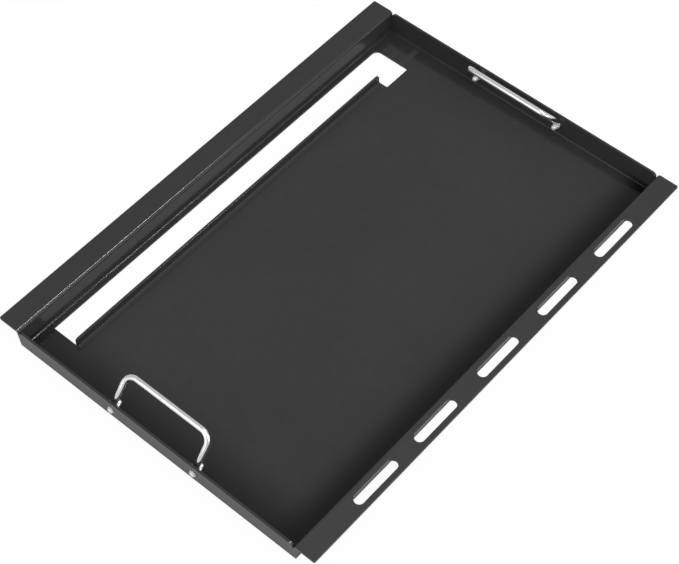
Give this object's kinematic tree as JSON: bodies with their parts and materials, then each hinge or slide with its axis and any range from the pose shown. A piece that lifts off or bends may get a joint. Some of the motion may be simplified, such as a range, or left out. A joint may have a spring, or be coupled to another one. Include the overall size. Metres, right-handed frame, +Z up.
{
  "type": "griddle tray",
  "caption": "Flat rectangular griddle insert for a gas grill: folded dark steel tray with out-turned flanges, vents, a rear grease slot with a lip, and two bolted rod handles",
  "frame": {"origin": "centre of the floor's underside", "axes": "+X along the long direction to the end with the drain notch, +Y towards the grease slot, +Z up"},
  "size_m": [0.6482, 0.4617, 0.0584],
  "materials": {
    "black_steel": "semi-gloss black high-temperature coating on folded sheet steel",
    "polished_steel": "polished stainless steel rod",
    "fastener_steel": "bright stainless steel fasteners"
  },
  "bodies": {
    "root": {"griddle_tray": "black_steel", "left_handle": "polished_steel", "right_handle": "polished_steel", "left_handle_front_bolt": "fastener_steel", "left_handle_front_outer_washer": "fastener_steel", "left_handle_front_inner_washer": "fastener_steel", "left_handle_front_cap_nut": "fastener_steel", "left_handle_rear_bolt": "fastener_steel", "left_handle_rear_outer_washer": "fastener_steel", "left_handle_rear_inner_washer": "fastener_steel", "left_handle_rear_cap_nut": "fastener_steel", "right_handle_front_bolt": "fastener_steel", "right_handle_front_outer_washer": "fastener_steel", "right_handle_front_inner_washer": "fastener_steel", "right_handle_front_cap_nut": "fastener_steel", "right_handle_rear_bolt": "fastener_steel", "right_handle_rear_outer_washer": "fastener_steel", "right_handle_rear_inner_washer": "fastener_steel", "right_handle_rear_cap_nut": "fastener_steel"}
  },
  "joints": []
}
